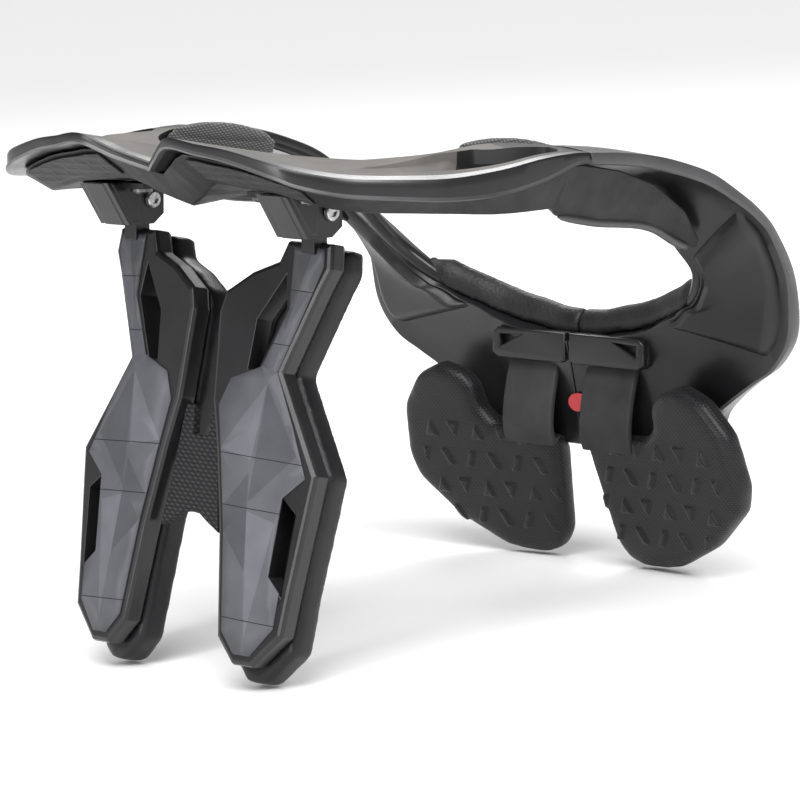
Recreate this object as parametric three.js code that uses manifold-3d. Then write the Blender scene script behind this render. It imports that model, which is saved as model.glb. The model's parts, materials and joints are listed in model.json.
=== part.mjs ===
// Motocross neck brace: a stiff collar that rings the neck, two struts that hang down the back,
// two flexible pads on the chest, and soft linings where it touches the body.
// Millimetres. The brace is drawn as it is worn: +Y forward, +X to the wearer's right, +Z up.
// At the end it is tipped and lifted so that it stands on its struts and chest pads.

import * as THREE from 'three';
import { mergeVertices } from 'three/addons/utils/BufferGeometryUtils.js';
import Module from 'manifold-3d';

const wasm = await Module();
wasm.setup();

// Driving dimensions
const fitGap = 0.35;

const ring = { halfWidth: 124.5, rearReach: 155.6, frontReach: 137, topHeight: 112 };
const chestEdge = 0.195 * ring.topHeight;

// Distances in from the ring's rear and front reach, and down from its top and its chest edge
const fromRear = { pivot: 54.6, strut: 52.6, bridge: 41.6 };
const fromFront = { tabTop: 28, tabBottom: 33, chestPad: 38.5 };
const fromTop = { plate: 17.5, pivot: 25, strut: 37, bridge: 104 };
const fromChestEdge = { tab: 14.3, chestPad: 19.8, button: 31.8 };

const shell = { edgeThickness: 10, neckThickness: 3.2, rib: 1, jointY: -24 };
const under = { depth: 22 };
const nose = { length: 86, gap: 0.2, fall: 6 };
const wing = { edgeThickness: 5, centreDepth: 24, bow: 1.5 };
const neckPad = { length: 62, height: 17, thickness: 10 };
const collarFoam = { height: 13, thickness: 11 };
const gripPad = { thickness: 2.4 };
const strut = {
  length: 168, width: 58, thickness: 9.5, bevel: 2, lean: 10.2, turn: 5, midX: 40,
  topZ: ring.topHeight - fromTop.strut, topY: fromRear.strut - ring.rearReach,
};
const strutPad = { thickness: 13, bevel: 2.5, overhang: 8 };
const pivot = {
  x: 51, y: fromRear.pivot - ring.rearReach, z: ring.topHeight - fromTop.pivot,
  lugRadius: 4.8, lugWidth: 7, cheek: 4.6, screwHead: 7, screwReach: 2, shank: 3.4,
};
const bracket = {
  plateWidth: 34, plateDepth: 46, plateThickness: 2.2, plateTop: ring.topHeight - fromTop.plate, plateShift: -4,
  rearReach: 24, frontReach: 7, below: 10,
};
const bridge = {
  halfWidth: 27, height: 50, thickness: 4.5, bevel: 0.8,
  topZ: ring.topHeight - fromTop.bridge, y: fromRear.bridge - ring.rearReach,
};
const chestPad = {
  width: 91, height: 88, thickness: 12, bevel: 3, lean: 17, turn: 4,
  topZ: chestEdge - fromChestEdge.chestPad, y: ring.frontReach - fromFront.chestPad,
};
const tab = {
  x: 22.5, width: 28, thickness: 4.2, topZ: chestEdge - fromChestEdge.tab,
  topY: ring.frontReach - fromFront.tabTop, bottomY: ring.frontReach - fromFront.tabBottom,
};
const tabClamp = { width: 42, height: 12.5, depth: 14, rise: 4 };
const button = { width: 11, height: 8, depth: 9, x: 2.5, z: chestEdge - fromChestEdge.button, behind: 4 };
const pillow = { thickness: 3.2, root: 2 };

// Materials
function material(color, roughness, metalness = 0) {
  return new THREE.MeshStandardMaterial({ color, roughness, metalness });
}

const blackPlastic = material(0x262426, 0.45);
const greyPlastic = material(0x787470, 0.4);
const printedPlastic = material(0x63636a, 0.5);
const softFoam = material(0x2a2a2c, 0.85);
const meshFabric = material(0x6a6a6c, 0.95);
const darkRubber = material(0x3a3a3c, 0.8);
const redPlastic = material(0xc83c3c, 0.4);
const steel = material(0xb8b8ba, 0.3, 1);

const vector = (x, y, z) => new THREE.Vector3(x, y, z);

// Solids from rings of points, all rings with the same count, closed at both ends
function signedVolume(positions, indices) {
  let total = 0;
  const corner = (i) => vector(positions[3 * i], positions[3 * i + 1], positions[3 * i + 2]);
  for (let i = 0; i < indices.length; i += 3) {
    total += corner(indices[i]).dot(corner(indices[i + 1]).cross(corner(indices[i + 2]))) / 6;
  }
  return total;
}

function closedGeometry(positions, indices) {
  if (signedVolume(positions, indices) < 0) {
    for (let i = 0; i < indices.length; i += 3) {
      [indices[i], indices[i + 1]] = [indices[i + 1], indices[i]];
    }
  }
  const geometry = new THREE.BufferGeometry();
  geometry.setAttribute('position', new THREE.Float32BufferAttribute(positions, 3));
  geometry.setIndex(indices);
  return geometry;
}

function loft(rings) {
  const count = rings[0].length;
  const positions = rings.flat().flatMap((p) => [p.x, p.y, p.z]);
  const indices = [];
  for (let r = 0; r + 1 < rings.length; r++) {
    for (let i = 0; i < count; i++) {
      const j = (i + 1) % count;
      const a = r * count + i;
      const b = r * count + j;
      indices.push(a, b, a + count, b, b + count, a + count);
    }
  }
  for (const [start, flip] of [[0, true], [(rings.length - 1) * count, false]]) {
    const middle = positions.length / 3;
    const centre = rings[start / count].reduce((sum, p) => sum.add(p), vector(0, 0, 0)).divideScalar(count);
    positions.push(centre.x, centre.y, centre.z);
    for (let i = 0; i < count; i++) {
      const j = (i + 1) % count;
      indices.push(middle, start + (flip ? j : i), start + (flip ? i : j));
    }
  }
  return closedGeometry(positions, indices);
}

function toSolid(geometry) {
  const plain = geometry.clone();
  for (const name of Object.keys(plain.attributes)) {
    if (name !== 'position') plain.deleteAttribute(name);
  }
  const merged = mergeVertices(plain, 1e-4);
  return new wasm.Manifold(new wasm.Mesh({
    numProp: 3,
    vertProperties: new Float32Array(merged.attributes.position.array),
    triVerts: new Uint32Array(merged.index.array),
  }));
}

function fromSolid(solid) {
  const mesh = solid.getMesh();
  const geometry = new THREE.BufferGeometry();
  geometry.setAttribute('position', new THREE.Float32BufferAttribute(mesh.vertProperties, 3));
  geometry.setIndex(Array.from(mesh.triVerts));
  return geometry;
}

const cut = (geometry, tools) => {
  const solid = toSolid(geometry);
  return fromSolid(tools.reduce((left, tool) => left.subtract(toSolid(tool)), solid));
};
const joined = (geometries) => fromSolid(geometries.map(toSolid).reduce((a, b) => a.add(b)));

function mirrorGeometry(geometry) {
  const plain = geometry.index ? geometry.toNonIndexed() : geometry;
  const source = plain.attributes.position;
  const positions = [];
  for (let i = 0; i < source.count; i += 3) {
    for (const k of [i, i + 2, i + 1]) {
      positions.push(-source.getX(k), source.getY(k), source.getZ(k));
    }
  }
  const flipped = new THREE.BufferGeometry();
  flipped.setAttribute('position', new THREE.Float32BufferAttribute(positions, 3));
  return flipped;
}

const wholeFromHalf = (half) => joined([half, mirrorGeometry(half)]);

// The geometry without its neighbours, each a fit gap larger along every axis
function clearOf(geometry, neighbours, gap = fitGap) {
  const steps = [[0, 0, 0], [gap, 0, 0], [-gap, 0, 0], [0, gap, 0], [0, -gap, 0], [0, 0, gap], [0, 0, -gap]];
  const tools = neighbours.flatMap((other) => steps.map((step) => toSolid(other.clone().translate(...step))));
  const pieces = tools.reduce((solid, tool) => solid.subtract(tool), toSolid(geometry)).decompose();
  return fromSolid(pieces.reduce((largest, piece) => (piece.volume() > largest.volume() ? piece : largest)));
}

// Smooth rows: each table column is carried through its stations by a Catmull-Rom curve
function smoothRows(rows, steps) {
  const names = Object.keys(rows[0]);
  const result = [];
  const weight = (t) => [
    0.5 * (-t + 2 * t * t - t * t * t),
    0.5 * (2 - 5 * t * t + 3 * t * t * t),
    0.5 * (t + 4 * t * t - 3 * t * t * t),
    0.5 * (-t * t + t * t * t),
  ];
  for (let i = 0; i + 1 < rows.length; i++) {
    const four = [rows[Math.max(i - 1, 0)], rows[i], rows[i + 1], rows[Math.min(i + 2, rows.length - 1)]];
    for (let s = 0; s < steps; s++) {
      const w = weight(s / steps);
      const blended = (name) => four.reduce((sum, row, k) => sum + w[k] * row[name], 0);
      result.push(Object.fromEntries(names.map((name) => [name, blended(name)])));
    }
  }
  result.push(rows.at(-1));
  return result;
}

// Columns are shares: x of ring.halfWidth, y of ring.rearReach (behind) and z of ring.topHeight
const rearTable = [
  { rimX: 0.000, rimY: -0.906, rimZ: 0.946, neckX: 0.000, neckY: -0.490, neckZ: 0.925, crown: 0.000, band: 0.40, drop: 0.62, innerDrop: 0.30 },
  { rimX: 0.096, rimY: -0.958, rimZ: 0.991, neckX: 0.100, neckY: -0.488, neckZ: 0.927, crown: 0.000, band: 0.42, drop: 0.60, innerDrop: 0.30 },
  { rimX: 0.201, rimY: -1.000, rimZ: 1.042, neckX: 0.190, neckY: -0.485, neckZ: 0.930, crown: 0.000, band: 0.43, drop: 0.57, innerDrop: 0.30 },
  { rimX: 0.321, rimY: -0.996, rimZ: 1.027, neckX: 0.300, neckY: -0.478, neckZ: 0.935, crown: 0.000, band: 0.45, drop: 0.55, innerDrop: 0.30 },
  { rimX: 0.442, rimY: -0.977, rimZ: 1.009, neckX: 0.400, neckY: -0.468, neckZ: 0.940, crown: 0.000, band: 0.50, drop: 0.50, innerDrop: 0.30 },
  { rimX: 0.594, rimY: -0.945, rimZ: 0.969, neckX: 0.500, neckY: -0.455, neckZ: 0.948, crown: 0.004, band: 0.60, drop: 0.43, innerDrop: 0.32 },
  { rimX: 0.675, rimY: -0.906, rimZ: 0.943, neckX: 0.560, neckY: -0.440, neckZ: 0.955, crown: 0.016, band: 0.70, drop: 0.36, innerDrop: 0.34 },
  { rimX: 0.763, rimY: -0.829, rimZ: 0.920, neckX: 0.610, neckY: -0.420, neckZ: 0.965, crown: 0.028, band: 0.75, drop: 0.30, innerDrop: 0.36 },
  { rimX: 0.843, rimY: -0.707, rimZ: 0.911, neckX: 0.650, neckY: -0.390, neckZ: 0.978, crown: 0.032, band: 0.80, drop: 0.27, innerDrop: 0.40 },
  { rimX: 0.908, rimY: -0.566, rimZ: 0.911, neckX: 0.675, neckY: -0.345, neckZ: 0.990, crown: 0.030, band: 0.90, drop: 0.27, innerDrop: 0.45 },
  { rimX: 0.948, rimY: -0.418, rimZ: 0.933, neckX: 0.690, neckY: -0.290, neckZ: 1.000, crown: 0.012, band: 1.00, drop: 0.38, innerDrop: 0.52 },
  { rimX: 0.972, rimY: -0.289, rimZ: 0.964, neckX: 0.703, neckY: -0.230, neckZ: 1.003, crown: 0.010, band: 0.92, drop: 0.55, innerDrop: 0.60 },
  { rimX: 0.986, rimY: -0.180, rimZ: 0.977, neckX: 0.715, neckY: -0.170, neckZ: 1.000, crown: 0.010, band: 0.50, drop: 0.78, innerDrop: 0.66 },
];

// The wing's outside face; columns are shares as above, with y of ring.frontReach
const wingTable = [
  { rimX: 0.988, rimY: -0.150, rimZ: 0.977, neckX: 0.723, neckY: -0.150, neckZ: 0.985, rimDepth: 0.80, neckDepth: 0.185 },
  { rimX: 0.996, rimY: 0.000, rimZ: 0.968, neckX: 0.723, neckY: 0.000, neckZ: 0.970, rimDepth: 0.85, neckDepth: 0.185 },
  { rimX: 1.000, rimY: 0.146, rimZ: 0.946, neckX: 0.720, neckY: 0.146, neckZ: 0.930, rimDepth: 0.90, neckDepth: 0.185 },
  { rimX: 0.996, rimY: 0.292, rimZ: 0.907, neckX: 0.716, neckY: 0.307, neckZ: 0.860, rimDepth: 0.90, neckDepth: 0.185 },
  { rimX: 0.990, rimY: 0.401, rimZ: 0.866, neckX: 0.710, neckY: 0.445, neckZ: 0.741, rimDepth: 0.95, neckDepth: 0.204 },
  { rimX: 0.980, rimY: 0.511, rimZ: 0.804, neckX: 0.702, neckY: 0.570, neckZ: 0.600, rimDepth: 1.00, neckDepth: 0.241 },
  { rimX: 0.971, rimY: 0.620, rimZ: 0.732, neckX: 0.690, neckY: 0.650, neckZ: 0.520, rimDepth: 1.05, neckDepth: 0.296 },
  { rimX: 0.964, rimY: 0.715, rimZ: 0.640, neckX: 0.645, neckY: 0.715, neckZ: 0.450, rimDepth: 1.10, neckDepth: 0.370 },
  { rimX: 0.960, rimY: 0.810, rimZ: 0.470, neckX: 0.580, neckY: 0.775, neckZ: 0.380, rimDepth: 1.20, neckDepth: 0.444 },
  { rimX: 0.952, rimY: 0.845, rimZ: 0.270, neckX: 0.510, neckY: 0.820, neckZ: 0.330, rimDepth: 1.30, neckDepth: 0.519 },
  { rimX: 0.885, rimY: 0.865, rimZ: 0.150, neckX: 0.430, neckY: 0.855, neckZ: 0.300, rimDepth: 1.50, neckDepth: 0.630 },
  { rimX: 0.790, rimY: 0.890, rimZ: 0.085, neckX: 0.350, neckY: 0.885, neckZ: 0.270, rimDepth: 1.80, neckDepth: 0.741 },
  { rimX: 0.675, rimY: 0.925, rimZ: 0.010, neckX: 0.270, neckY: 0.905, neckZ: 0.245, rimDepth: 2.20, neckDepth: 0.852 },
  { rimX: 0.565, rimY: 0.955, rimZ: -0.080, neckX: 0.190, neckY: 0.920, neckZ: 0.225, rimDepth: 2.80, neckDepth: 0.926 },
  { rimX: 0.470, rimY: 0.985, rimZ: -0.205, neckX: 0.120, neckY: 0.928, neckZ: 0.205, rimDepth: 3.60, neckDepth: 0.963 },
  { rimX: 0.240, rimY: 1.000, rimZ: -0.210, neckX: 0.060, neckY: 0.930, neckZ: 0.198, rimDepth: 4.40, neckDepth: 0.981 },
  { rimX: 0.002, rimY: 1.000, rimZ: -0.212, neckX: 0.002, neckY: 0.930, neckZ: 0.195, rimDepth: 4.60, neckDepth: 1.000 },
];

function rimAndNeck(row, reach) {
  return {
    rim: vector(row.rimX * ring.halfWidth, row.rimY * reach, row.rimZ * ring.topHeight),
    neck: vector(row.neckX * ring.halfWidth, row.neckY * reach, row.neckZ * ring.topHeight),
  };
}

const between = (a, b, share) => a.clone().lerp(b, share);

// Collar shell: the rear table and both side arms, in one piece
const shellHalf = smoothRows(rearTable, 2).map((row) => ({
  ...row,
  ...rimAndNeck(row, ring.rearReach),
  band: row.band * shell.edgeThickness,
}));

function shellRing({ rim, neck, crown: rise, band }) {
  const down = (point, depth) => point.clone().setZ(point.z - depth);
  const crown = between(rim, neck, 0.55);
  crown.z += rise * ring.topHeight;
  return [rim, crown, neck, down(neck, shell.neckThickness), down(crown, shell.neckThickness + shell.rib), down(rim, band)];
}

const collarShell = wholeFromHalf(loft(shellHalf.map(shellRing)));

// Underbody: the carrier under the table and the arms, which ends in a nose on each side
const noseStations = [
  { along: 0.00, outer: 0.12, inner: 1.00, drop: 0.98 },
  { along: 0.30, outer: 0.22, inner: 0.96, drop: 0.98 },
  { along: 0.60, outer: 0.34, inner: 0.88, drop: 0.72 },
  { along: 0.85, outer: 0.44, inner: 0.78, drop: 0.45 },
  { along: 1.00, outer: 0.56, inner: 0.66, drop: 0.15 },
];

function underRing({ rim, neck, band, drop, innerDrop }) {
  const outerTop = between(rim, neck, 0.1);
  outerTop.z += -band - fitGap - 0.6;
  const innerTop = between(rim, neck, 0.94);
  innerTop.z += -shell.neckThickness - fitGap - 2.2;
  const outerLow = between(rim, neck, 0.2 + 0.25 * drop);
  outerLow.z = outerTop.z - under.depth * drop;
  const innerLow = between(rim, neck, 0.88);
  innerLow.z = innerTop.z - under.depth * innerDrop;
  return [outerTop, innerTop, innerLow, outerLow];
}

function wingPoint(y) {
  const rows = smoothRows(wingTable, 2).map((row) => rimAndNeck(row, ring.frontReach));
  const next = rows.findIndex((row) => row.rim.y > y);
  const before = rows[Math.max(next - 1, 0)];
  const after = rows[next];
  const share = THREE.MathUtils.clamp((y - before.rim.y) / (after.rim.y - before.rim.y), 0, 1);
  return { rim: between(before.rim, after.rim, share), neck: between(before.neck, after.neck, share) };
}

function noseRing({ along, outer, inner, drop }) {
  const { rim, neck } = wingPoint(shell.jointY + 4 + along * nose.length);
  const outerTop = between(rim, neck, outer);
  const below = wing.edgeThickness + nose.gap + nose.fall * along;
  outerTop.z -= below;
  const innerTop = between(rim, neck, inner);
  innerTop.z -= below;
  const outerLow = between(outerTop, innerTop, 0.5);
  outerLow.z -= under.depth * drop;
  const innerLow = between(outerTop, innerTop, 0.95);
  innerLow.z -= under.depth * 0.6 * drop;
  return [outerTop, innerTop, innerLow, outerLow];
}

const underHalf = [...shellHalf.map(underRing), ...noseStations.map(noseRing)];
const collarUnder = wholeFromHalf(loft(underHalf));

// Wings: the front halves of the ring, which widen and turn down on to the chest
const wingRows = smoothRows(wingTable, 2).map((row) => ({
  ...rimAndNeck(row, ring.frontReach),
  rimDepth: row.rimDepth * wing.edgeThickness,
  neckDepth: row.neckDepth * wing.centreDepth,
}));

function wingInward(index) {
  const before = wingRows[Math.max(index - 1, 0)];
  const after = wingRows[Math.min(index + 1, wingRows.length - 1)];
  const along = between(after.rim, after.neck, 0.5).sub(between(before.rim, before.neck, 0.5));
  const across = wingRows[index].neck.clone().sub(wingRows[index].rim);
  const inward = across.cross(along).normalize();
  inward.x = wingRows[index].rim.x < 1 ? 0 : inward.x;
  return inward;
}

function wingRing(row, index) {
  const inward = wingInward(index);
  const middle = between(row.rim, row.neck, 0.5).addScaledVector(inward, -wing.bow);
  const rimIn = row.rim.clone().addScaledVector(inward, row.rimDepth);
  const neckIn = row.neck.clone().addScaledVector(inward, row.neckDepth);
  const hollow = between(rimIn, neckIn, 0.45).addScaledVector(inward, -0.5);
  return [row.rim, middle, row.neck, neckIn, hollow, rimIn];
}

const wingRings = wingRows.map(wingRing);
const wingRight = loft(wingRings);

// A flat outline, drawn in x and z, made into a plate that stands across y
function plateShape(points) {
  return new THREE.Shape(points.map(([x, z]) => new THREE.Vector2(x, z)));
}

function plate(shape, thickness, bevel) {
  const geometry = new THREE.ExtrudeGeometry(shape, {
    depth: thickness - 2 * bevel,
    bevelEnabled: bevel > 0,
    bevelThickness: bevel,
    bevelSize: bevel,
    bevelOffset: -bevel,
    bevelSegments: 2,
    curveSegments: 6,
  });
  geometry.translate(0, 0, bevel);
  geometry.rotateX(Math.PI / 2);
  geometry.translate(0, thickness, 0);
  return geometry;
}

// Struts: shares of strut.width across from the middle of the body, and of strut.length down
const strutOutline = [
  [0.66, 0.00], [1.05, 0.00], [1.07, 0.06], [1.00, 0.11], [0.76, 0.31], [0.95, 0.42], [1.16, 0.54], [1.14, 0.60],
  [1.06, 0.82], [1.03, 0.92], [0.80, 1.00], [0.62, 1.00], [0.46, 0.94], [0.36, 0.70], [0.25, 0.51], [0.16, 0.39],
  [0.12, 0.18], [0.16, 0.13], [0.38, 0.08], [0.60, 0.05],
];
const strutWindow = [[0.69, 0.08], [0.73, 0.16], [0.54, 0.31], [0.45, 0.31], [0.48, 0.19]];
const strutSlot = [[0.88, 0.595], [1.03, 0.635], [0.99, 0.83], [0.85, 0.785]];

const strutPoint = ([across, down]) => [across * strut.width, -down * strut.length];

function strutPlate(outline, holes, thickness, bevel) {
  const body = plate(plateShape(outline.map(strutPoint)), thickness, bevel);
  const through = (hole) => plate(plateShape(hole.map(strutPoint)), thickness * 3, 0).translate(0, -thickness, 0);
  const tools = holes.map(through);
  return cut(body, tools);
}

function aboutCentre(points, share) {
  const middle = points.reduce((sum, p) => [sum[0] + p[0] / points.length, sum[1] + p[1] / points.length], [0, 0]);
  return points.map((p) => [middle[0] + (p[0] - middle[0]) * share, middle[1] + (p[1] - middle[1]) * share]);
}

function placeStrut(geometry, behind) {
  geometry.translate(-strut.midX, behind, 0);
  geometry.rotateZ(THREE.MathUtils.degToRad(strut.turn));
  geometry.rotateX(-THREE.MathUtils.degToRad(strut.lean));
  geometry.translate(strut.midX, strut.topY, strut.topZ);
  return geometry;
}

const shaft = (radius, length, x, y, z) => {
  const geometry = new THREE.CylinderGeometry(radius, radius, length, 24);
  geometry.rotateZ(Math.PI / 2);
  geometry.translate(x, y, z);
  return geometry;
};

const box = (width, depth, height, x, y, z) => {
  const geometry = new THREE.BoxGeometry(width, depth, height);
  geometry.translate(x, y, z);
  return geometry;
};

// Strut shell: the faced plate, with a lug on its top that turns about the pivot screw
function strutShell() {
  const face = placeStrut(strutPlate(strutOutline, [strutWindow, strutSlot], strut.thickness, strut.bevel), 0);
  const lug = shaft(pivot.lugRadius, pivot.lugWidth, pivot.x, pivot.y, pivot.z);
  const neckLow = strut.topZ - strut.thickness / 2;
  const neck = box(pivot.lugWidth, pivot.lugRadius * 1.6, pivot.z - neckLow, pivot.x, pivot.y, (pivot.z + neckLow) / 2);
  const bore = shaft(pivot.shank / 2 + fitGap, pivot.lugWidth * 3, pivot.x, pivot.y, pivot.z);
  return cut(joined([face, lug, neck]), [bore]);
}

function strutPadSolid() {
  const overhang = strutPad.overhang / strut.length;
  const longer = strutOutline.map(([across, down]) => [across, down > 0.9 ? down + overhang : down]);
  const outline = aboutCentre(longer, 0.985);
  const hole = aboutCentre(strutWindow, 0.9);
  const solid = strutPlate(outline, [hole], strutPad.thickness, strutPad.bevel);
  return placeStrut(solid, strut.thickness + fitGap);
}

// Pivot bracket: two cheeks around the strut's lug, under a plate that is screwed to the table.
// Its side outline runs from the plate's rear end down to the pivot.
function pivotBracket() {
  const halfWidth = pivot.lugWidth / 2 + fitGap + pivot.cheek;
  const low = pivot.z - bracket.below;
  const side = plateShape([
    [pivot.y - bracket.rearReach, bracket.plateTop],
    [pivot.y - bracket.rearReach * 0.5, low],
    [pivot.y + bracket.frontReach * 0.2, low],
    [pivot.y + bracket.frontReach, low + bracket.below * 0.4],
    [pivot.y + bracket.frontReach, bracket.plateTop],
  ]);
  const body = plate(side, halfWidth * 2, 0);
  body.rotateZ(Math.PI / 2);
  body.translate(pivot.x + halfWidth, 0, 0);
  const slotTop = pivot.z + pivot.lugRadius + fitGap;
  const slotLow = low - bracket.below;
  const slotWidth = pivot.lugWidth + 2 * fitGap;
  const slotDepth = bracket.rearReach * 3;
  const slot = box(slotWidth, slotDepth, slotTop - slotLow, pivot.x, pivot.y, (slotTop + slotLow) / 2);
  const bore = shaft(pivot.shank / 2 + fitGap, halfWidth * 4, pivot.x, pivot.y, pivot.z);
  const plateY = pivot.y + bracket.frontReach;
  const plateZ = bracket.plateTop - bracket.plateThickness / 2;
  const plateX = pivot.x + bracket.plateShift;
  const rest = box(bracket.plateWidth, bracket.plateDepth, bracket.plateThickness, plateX, plateY, plateZ);
  return joined([cut(body, [slot, bore]), rest]);
}

// Pivot screw: a shank through both cheeks and the lug, with a low head at each end
function pivotScrew() {
  const faceX = pivot.lugWidth / 2 + fitGap + pivot.cheek + fitGap;
  const headX = faceX + pivot.screwReach / 2;
  const head = (side) => shaft(pivot.screwHead / 2, pivot.screwReach, pivot.x + side * headX, pivot.y, pivot.z);
  const shank = shaft(pivot.shank / 2, 2 * faceX + pivot.screwReach, pivot.x, pivot.y, pivot.z);
  return joined([shank, head(1), head(-1)]);
}

// Rubber web between the struts
const bridgeOutline = [
  [0.00, 0.26], [0.16, 0.24], [0.20, 0.02], [0.38, 0.00], [0.44, 0.30], [0.50, 0.62], [0.62, 1.00],
  [0.36, 0.93], [0.18, 0.87], [0.00, 0.86],
];

const bridgePoint = ([across, down]) => [across * bridge.halfWidth, bridge.topZ - down * bridge.height];
const bridgeRight = bridgeOutline.map(bridgePoint);
const bridgeLeft = bridgeRight.slice(1, -1).map(([x, z]) => [-x, z]).reverse();
const strutBridge = plate(plateShape([...bridgeRight, ...bridgeLeft]), bridge.thickness, bridge.bevel);
strutBridge.rotateX(-THREE.MathUtils.degToRad(strut.lean));
strutBridge.translate(0, bridge.y, 0);

// Chest pads: shares of chestPad.width outward and chestPad.height up from the lowest edge
const chestOutline = [
  [0.07, 0.66], [0.14, 0.13], [0.20, 0.04], [0.31, 0.00], [0.53, 0.02], [0.80, 0.16], [1.02, 0.36], [1.06, 0.49],
  [1.03, 0.76], [0.91, 0.93], [0.76, 1.00], [0.63, 0.96], [0.56, 0.89], [0.55, 0.77], [0.47, 0.70], [0.33, 0.69],
];
const chestBottom = chestPad.topZ - chestPad.height;
const chestPoint = ([across, up]) => [across * chestPad.width, chestBottom + up * chestPad.height];
const chestShape = plateShape(chestOutline.map(chestPoint));
const chestSolid = plate(chestShape, chestPad.thickness, chestPad.bevel);
chestSolid.rotateX(THREE.MathUtils.degToRad(chestPad.lean));
chestSolid.rotateZ(-THREE.MathUtils.degToRad(chestPad.turn));
chestSolid.translate(0, chestPad.y, 0);

// Rubber tabs from the chest plate down to the pads, held under clamps at their top
const tabBottom = chestBottom + 0.69 * chestPad.height - 2;
const tabLean = Math.atan2(tab.topY - tab.bottomY, tab.topZ - tabBottom);
const chestTab = box(tab.width, tab.thickness, tab.topZ - tabBottom, 0, 0, 0);
chestTab.rotateX(-tabLean);
chestTab.translate(tab.x, (tab.topY + tab.bottomY) / 2 + tab.thickness / 2, (tab.topZ + tabBottom) / 2);
const clampZ = tab.topZ + fitGap + tabClamp.height / 2;
const clampY = tab.topY - tabClamp.rise + tabClamp.depth / 2;
const tabBracket = box(tabClamp.width, tabClamp.depth, tabClamp.height, tab.x, clampY, clampZ);

// Soft linings
function ovalRing(centre, outward, up, halfThickness, halfHeight) {
  const points = [];
  for (let i = 0; i < 10; i++) {
    const angle = (i / 10) * 2 * Math.PI;
    const point = centre.clone();
    point.addScaledVector(outward, halfThickness * Math.cos(angle));
    point.addScaledVector(up, halfHeight * Math.sin(angle));
    points.push(point);
  }
  return points;
}

const up = vector(0, 0, 1);

function neckPadSolid() {
  const rings = [];
  const steps = 10;
  for (let i = 0; i <= steps; i++) {
    const share = i / steps;
    const bulge = Math.sqrt(Math.max(Math.sin(Math.PI * (0.06 + 0.88 * share)), 0));
    const x = (0.659 + 0.028 * share) * ring.halfWidth;
    const y = share * neckPad.length - 0.34 * ring.rearReach;
    const z = (0.938 - 0.045 * share) * ring.topHeight;
    const halfThickness = neckPad.thickness / 2 * bulge;
    rings.push(ovalRing(vector(x, y, z), vector(1, 0, 0), up, halfThickness, neckPad.height / 2 * bulge));
  }
  return loft(rings);
}

function collarFoamSolid() {
  const rings = [];
  const rows = wingRows.filter((row) => row.neck.x < 0.643 * ring.halfWidth);
  rows.forEach((row, index) => {
    const inward = wingInward(wingRows.indexOf(row));
    const end = Math.min(1, (index + 1) / 3);
    const centre = row.neck.clone().addScaledVector(inward, row.neckDepth * 0.5);
    centre.z += collarFoam.height / 2 - 2;
    rings.push(ovalRing(centre, inward, up, collarFoam.thickness / 2 * end, collarFoam.height / 2 * end));
  });
  return loft(rings);
}

// Raised plate on the inner face of each wing, where it bears on the collarbone
function wingPlateSolid() {
  const rings = [];
  wingRows.forEach((row, index) => {
    if (row.rim.y < 0.54 * ring.frontReach || row.rim.x < 0.9 * ring.halfWidth) return;
    const inward = wingInward(index);
    const rimIn = row.rim.clone().addScaledVector(inward, row.rimDepth);
    const neckIn = row.neck.clone().addScaledVector(inward, row.neckDepth);
    const on = (share, height) => between(rimIn, neckIn, share).addScaledVector(inward, height);
    const face = [on(0.9, pillow.thickness), on(0.5, pillow.thickness + wing.bow), on(0.16, pillow.thickness)];
    rings.push([on(0.1, -pillow.root), on(0.94, -pillow.root), ...face]);
  });
  return loft(rings);
}

// Textured grip on the rear face of the underbody, below each horn of the table
function gripPadSolid() {
  const rings = underHalf.slice(4, 12).map(([outerTop, innerTop, innerLow, outerLow]) => {
    const outward = outerTop.clone().sub(innerTop).setZ(0).normalize();
    const on = (share, height) => between(outerTop, outerLow, share).addScaledVector(outward, height);
    return [on(0.15, 2 * fitGap), on(0.88, 2 * fitGap), on(0.82, gripPad.thickness), on(0.2, gripPad.thickness)];
  });
  return loft(rings);
}

const releaseButton = new THREE.CylinderGeometry(button.width / 2, button.width / 2, button.depth, 24);
releaseButton.scale(1, 1, button.height / button.width);
releaseButton.translate(button.x, tab.topY + button.behind, button.z);

// Assembly
const brace = new THREE.Group();

function add(name, geometry, finish) {
  const mesh = new THREE.Mesh(geometry, finish);
  mesh.name = name;
  brace.add(mesh);
  return mesh;
}

function addPair(name, geometry, finish) {
  add(name + '_right', geometry, finish);
  add(name + '_left', mirrorGeometry(geometry), finish);
}

const wingLeft = mirrorGeometry(wingRight);
const strutRight = strutShell();
const foamRight = clearOf(collarFoamSolid(), [wingRight]);
const chestRight = clearOf(chestSolid, [wingRight]);
const bracketRight = clearOf(pivotBracket(), [collarUnder], 0.5);
add('collar_shell', collarShell, greyPlastic);
add('collar_underbody', collarUnder, blackPlastic);
addPair('front_wing', wingRight, blackPlastic);
addPair('neck_pad', clearOf(neckPadSolid(), [collarShell, wingRight, collarUnder]), meshFabric);
addPair('collar_foam', foamRight, softFoam);
addPair('strut_shell', strutRight, printedPlastic);
addPair('strut_pad', clearOf(strutPadSolid(), [strutRight]), softFoam);
addPair('pivot_bracket', bracketRight, blackPlastic);
addPair('pivot_screw', pivotScrew(), steel);
addPair('wing_plate', clearOf(wingPlateSolid(), [wingRight]), blackPlastic);
addPair('rear_grip_pad', gripPadSolid(), darkRubber);
add('release_button', clearOf(releaseButton, [wingRight, wingLeft, chestTab]), redPlastic);
add('strut_bridge', clearOf(strutBridge, [strutRight, mirrorGeometry(strutRight)]), darkRubber);
addPair('chest_pad', chestRight, softFoam);
addPair('chest_tab', clearOf(chestTab, [chestRight, wingRight]), darkRubber);
addPair('tab_bracket', clearOf(tabBracket, [wingRight, chestTab, foamRight]), blackPlastic);

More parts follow.
